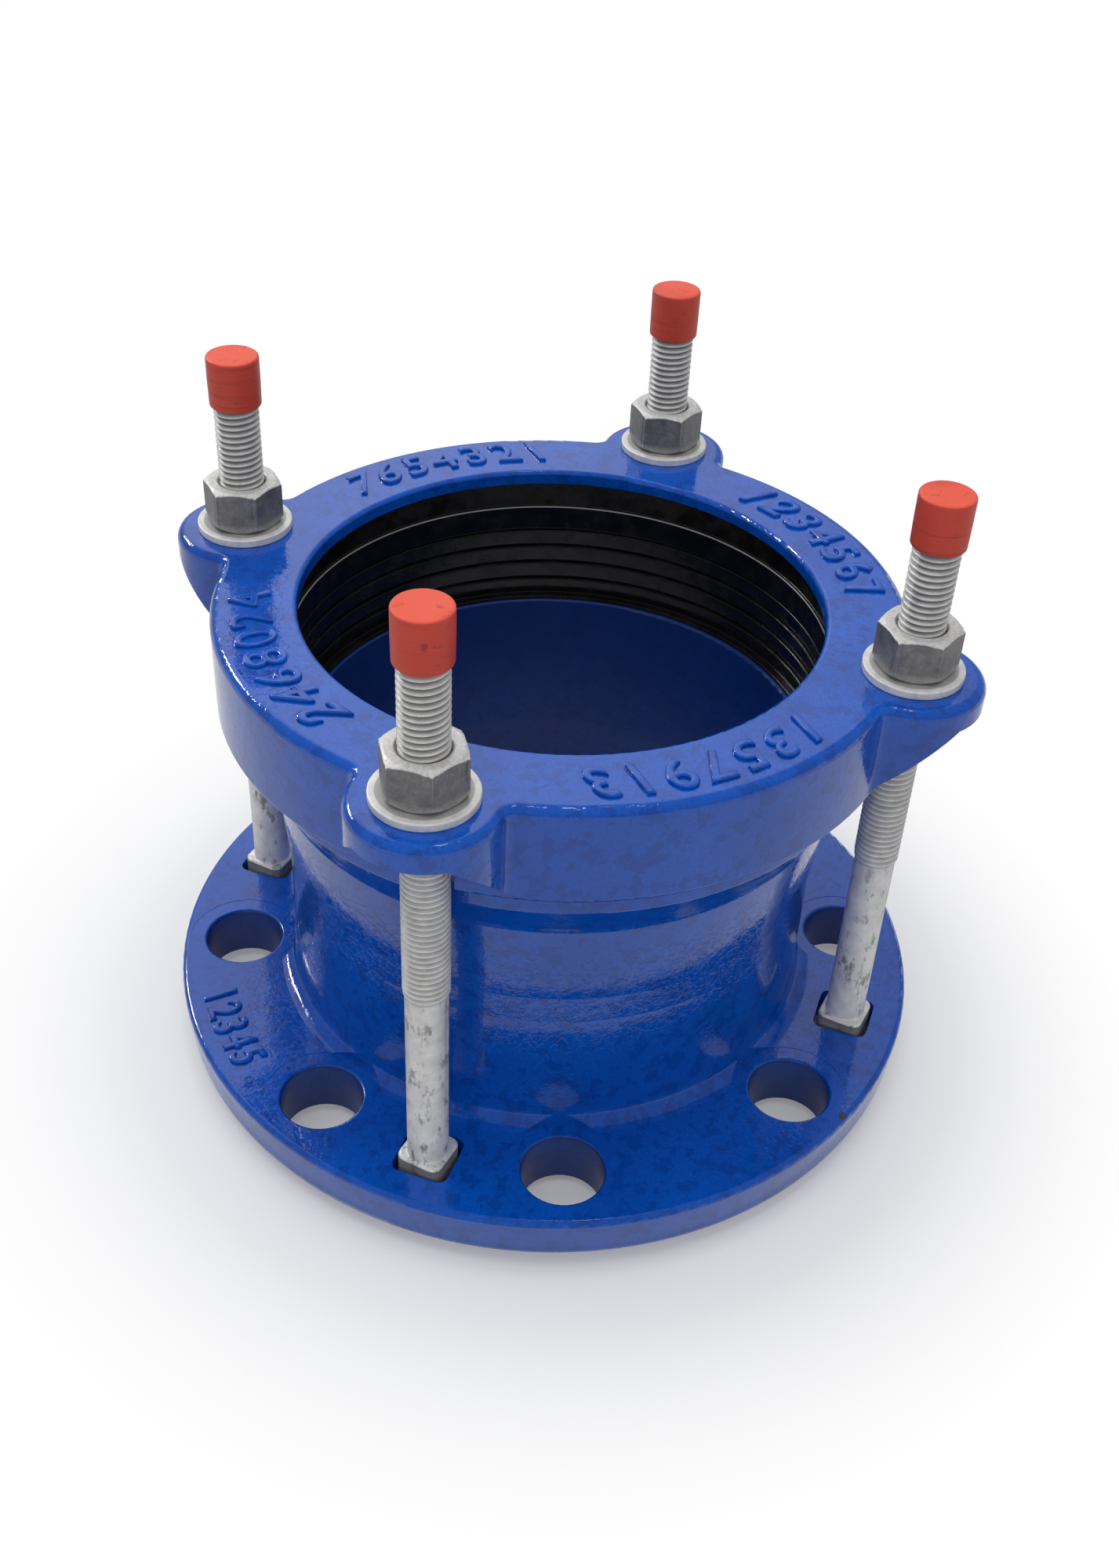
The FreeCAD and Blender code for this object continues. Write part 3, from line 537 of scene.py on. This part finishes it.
def bolt_body_rings(low):
    """Level rings from the underside of the head up to the end of the plain shank."""
    head_top = low + HEAD_THICKNESS
    neck_top = FLANGE_TOP + NECK_RISE
    head = [(HEAD_HALF - HEAD_EDGE, low), (HEAD_HALF, low + HEAD_EDGE),
            (HEAD_HALF, head_top - HEAD_EDGE), (HEAD_HALF - HEAD_EDGE, head_top)]
    rings = [(rounded_square(half, HEAD_CORNER, BOLT_COLUMNS), level) for half, level in head]
    rings.append((rounded_square(NECK_HALF, NECK_CORNER, BOLT_COLUMNS), head_top))
    for step in range(NECK_EDGE_STEPS + 1):
        angle = math.pi / 2 * step / NECK_EDGE_STEPS
        half = NECK_HALF - NECK_EDGE * (1 - math.cos(angle))
        level = neck_top - NECK_EDGE * (1 - math.sin(angle))
        rings.append((rounded_square(half, NECK_CORNER, BOLT_COLUMNS), level))
    for step in range(SHANK_FILLET_STEPS + 1):
        angle = math.pi / 2 * step / SHANK_FILLET_STEPS
        radius = SHANK_RADIUS + SHANK_FILLET * (1 - math.sin(angle))
        rings.append((circle(radius, BOLT_COLUMNS), neck_top + SHANK_FILLET * (1 - math.cos(angle))))
    rings.append((circle(SHANK_RADIUS, BOLT_COLUMNS), neck_top + SHANK_LENGTH))
    return rings


def thread_radius(level, share, low, high):
    """The thread's radius at a level, where share is how deep the groove is there, from 0 to 1."""
    rise = min(1, (level - low) / THREAD_PITCH)
    fade = min(1, (level - low) / (THREAD_RUN_IN * THREAD_PITCH))
    crest = SHANK_RADIUS + (THREAD_RADIUS - SHANK_RADIUS) * rise
    end = THREAD_RADIUS - THREAD_CHAMFER + (high - level)
    return min(crest - THREAD_DEPTH * share * fade, end)


def bolt_mesh(name, centre, low, high):
    """
    One closed surface: level rings up to the shank's end, then rows that climb with the thread. The sides
    of the square neck, but for its upper edge, get as much painted shade and dirt as the bottom of the
    thread.
    """
    vertices = []
    groove = []
    rings = bolt_body_rings(low)
    for outline, level in rings:
        vertices += [(x, y, level) for x, y in outline]
        # Painted shade and dirt on the sides of the square neck
        shaded_and_dirty = low + HEAD_THICKNESS < level < FLANGE_TOP + NECK_RISE - NECK_EDGE * 0.9
        groove += [float(shaded_and_dirty)] * BOLT_COLUMNS
    faces = ring_faces(len(rings), BOLT_COLUMNS)
    faces.append(tuple(range(BOLT_COLUMNS)))

    thread_low = rings[-1][1]
    steps = len(THREAD_FORM)
    turns = (high - thread_low) / THREAD_PITCH
    rows = math.ceil(turns * steps) + 2 * steps + 2
    first = len(vertices)
    for row in range(rows):
        share = THREAD_FORM[row % steps]
        for column in range(BOLT_COLUMNS):
            climb = THREAD_PITCH * (row / steps - 1 + column / BOLT_COLUMNS)
            level = min(max(thread_low + climb, thread_low), high)
            radius = thread_radius(level, share, thread_low, high)
            angle = 2 * math.pi * column / BOLT_COLUMNS
            vertices.append((radius * math.cos(angle), radius * math.sin(angle), level))
            groove.append(share * (THREAD_SHADE_AND_DIRT_LOW if level < FLANGE_TOP + THREAD_SHADE_AND_DIRT_FROM else 1))
    for row in range(rows - 1):
        here = first + row * BOLT_COLUMNS
        for column in range(BOLT_COLUMNS - 1):
            corner = here + column
            faces.append((corner, corner + 1, corner + 1 + BOLT_COLUMNS, corner + BOLT_COLUMNS))
        seam = here + steps * BOLT_COLUMNS
        if row + steps + 1 < rows:
            faces.append((here + BOLT_COLUMNS - 1, seam, seam + BOLT_COLUMNS, here + 2 * BOLT_COLUMNS - 1))
    faces.append(tuple(first + (rows - 1) * BOLT_COLUMNS + column for column in range(BOLT_COLUMNS)))

    turn = Matrix.Rotation(BOLT_TURN, 3, "Z")
    middle = Vector((centre[0], centre[1], 0))
    placed = [turn @ Vector(vertex) + middle for vertex in vertices]
    return mesh_from(name, placed, faces, ("groove", groove), sharp=FINE_SHARP_EDGE)


def add_bolts(material):
    for number in BOLT_NUMBERS:
        centre, low, high = axis_of(f"bolt_{number}")
        mesh = bolt_mesh(f"threaded_bolt_{number}", centre, low, high)
        piece(f"threaded_bolt_{number}", mesh, "body", material, f"bolt_{number}")


# Nuts, washers and caps
def hexagon_radius(angle):
    """How far the side of the nut is from its axis, with the six corners a little rounded."""
    off_flat = abs((angle + math.pi / 6) % (math.pi / 3) - math.pi / 6)
    corner_spot = (NUT_FLATS / 2 - NUT_CORNER) / math.cos(math.pi / 6)
    off_corner = math.pi / 6 - off_flat
    side = NUT_FLATS / 2 / math.cos(off_flat)
    across = corner_spot * math.sin(off_corner)
    if across >= NUT_CORNER:
        return side
    return min(side, corner_spot * math.cos(off_corner) + math.sqrt(NUT_CORNER ** 2 - across ** 2))


def nut_mesh(name, centre, low, high, turn):
    """A hexagon with its corners cut by a flat cone at both ends, a countersunk hole, and edges and a top
    made pale by wear and painted highlight.
    """
    angles = [2 * math.pi * column / NUT_COLUMNS for column in range(NUT_COLUMNS)]
    sides = [hexagon_radius(angle) for angle in angles]
    spreads = [max(0, side - NUT_CROWN_RADIUS) for side in sides]
    shoulders = [high - spread * math.tan(NUT_CROWN_SLOPE) for spread in spreads]
    mouth = NUT_HOLE + NUT_MOUTH
    rings = (
        ([(mouth, low)] * NUT_COLUMNS, 0),
        ([(NUT_CROWN_RADIUS, low)] * NUT_COLUMNS, 0),
        ([(side, low + spread * math.tan(NUT_FOOT_SLOPE)) for side, spread in zip(sides, spreads)],
         NUT_RUBBED_FOOT),
        ([(side, (low * 3 + high) / 4) for side in sides], 0),
        ([(side, level - NUT_PALE_BAND) for side, level in zip(sides, shoulders)], 0),
        ([(side, level) for side, level in zip(sides, shoulders)], NUT_WEAR_AND_HIGHLIGHT_CROWN),
        ([(NUT_CROWN_RADIUS, high)] * NUT_COLUMNS, NUT_WEAR_AND_HIGHLIGHT_CROWN),
        ([(mouth, high)] * NUT_COLUMNS, NUT_WEAR_AND_HIGHLIGHT_MOUTH),
        ([(NUT_HOLE, high - NUT_MOUTH)] * NUT_COLUMNS, 0),
        ([(NUT_HOLE, low + NUT_MOUTH)] * NUT_COLUMNS, 0),
    )
    vertices = []
    edge = []
    for ring, worn_and_highlit in rings:
        for (radius, level), angle in zip(ring, angles):
            vertices.append((centre[0] + radius * math.cos(angle + turn),
                             centre[1] + radius * math.sin(angle + turn), level))
            edge.append(worn_and_highlit)
    return mesh_from(name, vertices, ring_faces(len(rings), NUT_COLUMNS, closed=True), ("edge", edge))


def blunt_edges(obj, width):
    """Rounds the sharp edges of a piece."""
    bevel = obj.modifiers.new("blunt_edges", "BEVEL")
    bevel.width = width
    bevel.segments = 2
    bevel.harden_normals = True
    bevel.limit_method = "ANGLE"
    bevel.angle_limit = BLUNTED_EDGE


def add_nuts(material):
    for number, turn in zip(BOLT_NUMBERS, NUT_TURNS):
        centre, low, high = axis_of(f"nut_{number}")
        mesh = nut_mesh(f"hexagon_nut_{number}", centre, low, high, turn)
        node = f"nut_{number}"
        obj = piece(f"hexagon_nut_{number}", mesh, f"clamp_nut_{number}", material, node)
        blunt_edges(obj, NUT_BLUNTING)


def add_washers(material):
    for number in BOLT_NUMBERS:
        centre, low, high = axis_of(f"washer_{number}")
        radius = (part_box(f"washer_{number}")[1].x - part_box(f"washer_{number}")[0].x) / 2
        outline = soften(((WASHER_HOLE, low), (radius, low), (radius, high), (WASHER_SHADE_AND_DIRT_RADIUS, high),
                          (WASHER_HOLE, high)), WASHER_EDGE)
        # Painted shade and dirt round the nut's foot on the washer's top
        dirt = [WASHER_SHADE_AND_DIRT * float(point[0] < WASHER_SHADE_AND_DIRT_RADIUS) for point in outline]
        mesh = lathe(f"plain_washer_{number}", outline, centre, ROUND_COLUMNS, ("groove", dirt))
        piece(f"plain_washer_{number}", mesh, "gland", material, f"washer_{number}")


def add_caps(material):
    for number in BOLT_NUMBERS:
        node = f"thread_cap_{number}"
        centre, low, high = axis_of(node)
        radius = (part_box(node)[1].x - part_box(node)[0].x) / 2
        inner = radius - CAP_WALL
        outline = soften(((inner, low), (radius * CAP_MOUTH_SHARE, low), (radius, (low + high) / 2),
                          (radius, high), (0, high), (0, high - CAP_END), (inner, high - CAP_END)),
                         CAP_EDGE)
        # Painted highlight: the top and the upper part of its rounding are marked for a brighter red
        edge = [float(point[1] > high - CAP_EDGE / 2) for point in outline]
        mesh = lathe(f"end_cap_cover_{number}", outline, centre, ROUND_COLUMNS, ("edge", edge))
        piece(f"end_cap_cover_{number}", mesh, f"end_cap_{number}", material, node)


# Gasket
def gasket_outline(seat, top, outer):
    """The section of the rubber: leaning lips inside, a wedge with a shoulder over the rim outside."""
    lips_low = seat + HEEL_HEIGHT
    step = top - GASKET_STEP_DROP
    outline = [
        (GASKET_INNER + GASKET_STEP + GASKET_LEAD_IN, top),
        (GASKET_CONE_RADIUS, top),
        (outer, GASKET_CONE_START),
        (outer, SOCKET_TOP + GASKET_GAP),
        (MOUTH_RADIUS - GASKET_GAP, SOCKET_TOP + GASKET_GAP),
        (SEAT_RADIUS - GASKET_GAP, seat),
        (HEEL_RADIUS, seat),
        (HEEL_RADIUS, lips_low),
    ]
    for lip in range(LIP_COUNT):
        foot = lips_low + lip * LIP_PITCH
        outline.append((GASKET_INNER + LIP_LEAN, foot))
        outline.append((GASKET_INNER, foot + LIP_FACE))
        outline.append((GASKET_INNER + LIP_RELIEF, foot + (LIP_FACE + LIP_PITCH) / 2))
    outline.append((GASKET_INNER, lips_low + LIP_COUNT * LIP_PITCH))
    outline.append((GASKET_INNER, step))
    outline.append((GASKET_INNER + GASKET_STEP, step))
    return soften(outline, LIP_ROUND)


def add_gasket(material):
    low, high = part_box("gasket")
    outline = gasket_outline(low.z, high.z, high.x)
    # Painted highlight: the step's edge is marked for a pale line
    edge = near(outline, (GASKET_INNER, high.z - GASKET_STEP_DROP), LIP_ROUND * PALE_LINE_REACH)
    mesh = lathe("rubber_gasket", outline, (0, 0), GASKET_COLUMNS, ("edge", edge))
    obj = piece("rubber_gasket", mesh, "body", material, "gasket")
    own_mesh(obj)


# Raised numerals, which are cast on and painted over
def bent_digits(name, digits, height, angle, place):
    """Raised digits on a level ring, where place turns the text's (across, up) into (radius, across)."""
    curve = bpy.data.curves.new(name, "FONT")
    curve.body = digits
    curve.size = height / DIGIT_SHARE
    curve.align_x = "CENTER"
    curve.space_character = DIGIT_SPACING
    curve.extrude = DIGIT_RISE - DIGIT_SOFTNESS
    curve.bevel_depth = DIGIT_SOFTNESS
    curve.bevel_resolution = 2
    curve.offset = DIGIT_WEIGHT - DIGIT_SOFTNESS
    flat = bpy.data.objects.new(name, curve)
    bpy.context.scene.collection.objects.link(flat)
    mesh = bpy.data.meshes.new_from_object(flat.evaluated_get(bpy.context.evaluated_depsgraph_get()))
    bpy.data.objects.remove(flat)
    bpy.data.curves.remove(curve)
    building = bmesh.new()
    building.from_mesh(mesh)
    bmesh.ops.remove_doubles(building, verts=building.verts, dist=DIGIT_WELD)
    for vertex in building.verts:
        radius, across = place(vertex.co.x, vertex.co.y)
        turned = angle + across / radius
        vertex.co.x = radius * math.cos(turned)
        vertex.co.y = radius * math.sin(turned)
    bmesh.ops.recalc_face_normals(building, faces=building.faces)
    building.to_mesh(mesh)
    building.free()
    mesh.name = name
    mesh.shade_smooth()
    mesh.set_sharp_from_angle(angle=FINE_SHARP_EDGE)
    return mesh


def add_numerals(material):
    ring_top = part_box("washer_1")[0].z
    for number, digits in zip(BOLT_NUMBERS, RING_DIGITS):
        angle = math.radians(90 * number - 45)
        name = f"ring_numerals_{number}"
        mesh = bent_digits(name, digits, RING_DIGIT_HEIGHT, angle,
                           lambda across, up: (RING_DIGIT_RADIUS + up, -across))
        mesh.transform(Matrix.Translation((0, 0, ring_top)))
        piece(name, mesh, "gland", material)
    mesh = bent_digits("flange_numerals", FLANGE_DIGITS, FLANGE_DIGIT_HEIGHT, FLANGE_DIGIT_ANGLE,
                       lambda across, up: (FLANGE_DIGIT_RADIUS - up, across * FLANGE_DIGIT_WIDTH))
    mesh.transform(Matrix.Translation((0, 0, FLANGE_TOP)))
    piece("flange_numerals", mesh, "body", material)


def paint_castings(material):
    for node in ("flange_body", "gland_ring"):
        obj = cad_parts[node]
        obj.data.materials.clear()
        obj.data.materials.append(material)


# Floor, light and camera
def pale_floor():
    """A pale floor that keeps the shadow near the object and fades to plain white away from it."""
    nodes = Nodes("pale_floor")
    path = nodes.add("LightPath")
    seen = nodes.math("MAXIMUM", path.outputs["Is Camera Ray"], path.outputs["Is Glossy Ray"])
    seen = nodes.math("MAXIMUM", seen, path.outputs["Is Transmission Ray"])
    nodes.set(BaseColor=nodes.mix(seen, rgb(0.5, 0.5, 0.51), rgb(0.93, 0.93, 0.94)), Roughness=0.9)
    nodes.shader.inputs["Specular IOR Level"].default_value = 0.1
    strength = nodes.ramp(path.outputs["Is Camera Ray"], 0, 1, MIRRORED_FLOOR, 1)
    glow = nodes.add("Emission", {"Strength": strength})
    middle = nodes.add("VectorMath", {0: nodes.place}, operation="LENGTH").outputs["Value"]
    share = nodes.math("MAXIMUM", nodes.ramp(middle, SHADOW_RADIUS, WHITE_RADIUS),
                       nodes.ramp(middle, BORE_EDGE, BORE_EDGE + NEAR_FADE, 0, NEAR_WHITE))
    mirrored = nodes.math("MULTIPLY", path.outputs["Is Glossy Ray"],
                          nodes.ramp(middle, MIRROR_RADIUS, MIRROR_RADIUS + MIRROR_FADE))
    share = nodes.math("MAXIMUM", share, mirrored)
    blend = nodes.add("MixShader", {"Fac": nodes.math("MULTIPLY", seen, share)})
    nodes.feed(blend.inputs[1], nodes.shader.outputs["BSDF"])
    nodes.feed(blend.inputs[2], glow.outputs["Emission"])
    nodes.feed(nodes.tree.nodes["Material Output"].inputs["Surface"], blend.outputs["Shader"])
    return nodes.material


def add_floor():
    corners = [(x * FLOOR_HALF, y * FLOOR_HALF, 0) for x, y in ((-1, -1), (1, -1), (1, 1), (-1, 1))]
    mesh = bpy.data.meshes.new("floor")
    mesh.from_pydata(corners, [], [(0, 1, 2, 3)])
    mesh.materials.append(pale_floor())
    floor = bpy.data.objects.new("floor", mesh)
    floor.location.z = -FLOOR_DROP
    bpy.context.scene.collection.objects.link(floor)


def add_world():
    """Soft light from all round: white to the camera, and in reflections grey but for one bright side."""
    world = bpy.data.worlds.new("studio")
    bpy.context.scene.world = world
    world.use_nodes = True
    tree = world.node_tree
    path = tree.nodes.new("ShaderNodeLightPath")
    direction = tree.nodes.new("ShaderNodeTexCoord")
    towards = tree.nodes.new("ShaderNodeVectorMath")
    towards.operation = "DOT_PRODUCT"
    towards.inputs[1].default_value = BRIGHT_SIDE.normalized()
    tree.links.new(direction.outputs["Generated"], towards.inputs[0])
    studio = tree.nodes.new("ShaderNodeMapRange")
    for name, number in STUDIO_RAMP.items():
        studio.inputs[name].default_value = number
    tree.links.new(towards.outputs["Value"], studio.inputs["Value"])
    strength = STUDIO_LIGHT
    for name, seen_as in (("Is Glossy Ray", studio.outputs["Result"]),
                          ("Is Transmission Ray", studio.outputs["Result"]), ("Is Camera Ray", 1.0)):
        choice = tree.nodes.new("ShaderNodeMix")
        tree.links.new(path.outputs[name], choice.inputs["Factor"])
        for socket, source in ((choice.inputs["A"], strength), (choice.inputs["B"], seen_as)):
            if isinstance(source, bpy.types.NodeSocket):
                tree.links.new(source, socket)
            else:
                socket.default_value = source
        strength = choice.outputs["Result"]
    background = tree.nodes["Background"]
    background.inputs["Color"].default_value = rgb(1, 1, 1)
    tree.links.new(strength, background.inputs["Strength"])


def add_lamp(name, place, width, length, power):
    """A flat lamp that faces the object."""
    data = bpy.data.lights.new(name, "AREA")
    data.shape = "RECTANGLE"
    data.size = width
    data.size_y = length
    data.energy = power
    lamp = bpy.data.objects.new(name, data)
    lamp.location = place
    lamp.rotation_euler = (Vector(LAMP_TARGET) - Vector(place)).to_track_quat("-Z", "Y").to_euler()
    bpy.context.scene.collection.objects.link(lamp)
    return lamp


def add_lamps():
    """Soft lamps overhead and in front, and two small bright ones that only show as glints."""
    overhead = add_lamp("overhead", (-0.25, 0.15, 1.5), width=1.6, length=1.6, power=15.0)
    front = add_lamp("front", (0.25, -0.78, 0.4), width=0.5, length=0.5, power=0.95)
    window = add_lamp("window", (-1.28, 0.45, 0.95), width=0.40, length=0.10, power=10)
    ceiling_panel = add_lamp("ceiling_panel", (0.15, 0.1, 1.6), width=0.16, length=0.16, power=0.8)
    for soft in (overhead, front):
        soft.visible_glossy = False
    for glint in (window, ceiling_panel):
        glint.visible_diffuse = False


def add_camera():
    azimuth, elevation = VIEW_AZIMUTH, VIEW_ELEVATION
    back = Vector((math.sin(azimuth) * math.cos(elevation), -math.cos(azimuth) * math.cos(elevation),
                   math.sin(elevation)))
    right = Vector((math.cos(azimuth), math.sin(azimuth), 0))
    up = back.cross(right)
    across = right * math.cos(VIEW_ROLL) + up * math.sin(VIEW_ROLL)
    data = bpy.data.cameras.new("camera")
    data.lens = LENS
    data.sensor_fit = "VERTICAL"
    data.sensor_height = SENSOR_HEIGHT
    data.clip_start = CLIP_START
    camera = bpy.data.objects.new("camera", data)
    turn = Matrix((across, back.cross(across), back)).transposed()
    camera.matrix_world = Matrix.Translation(VIEW_TARGET + back * VIEW_DISTANCE) @ turn.to_4x4()
    bpy.context.scene.collection.objects.link(camera)
    bpy.context.scene.camera = camera


add_camera()
add_floor()
add_world()
add_lamps()
bpy.context.scene.view_settings.view_transform = "Standard"

paint = blue_paint()
paint_castings(paint)
add_numerals(paint)
zinc = zinc_coat()
add_bolts(zinc)
add_washers(zinc)
add_nuts(nut_zinc())
add_caps(red_plastic())
add_gasket(black_rubber())
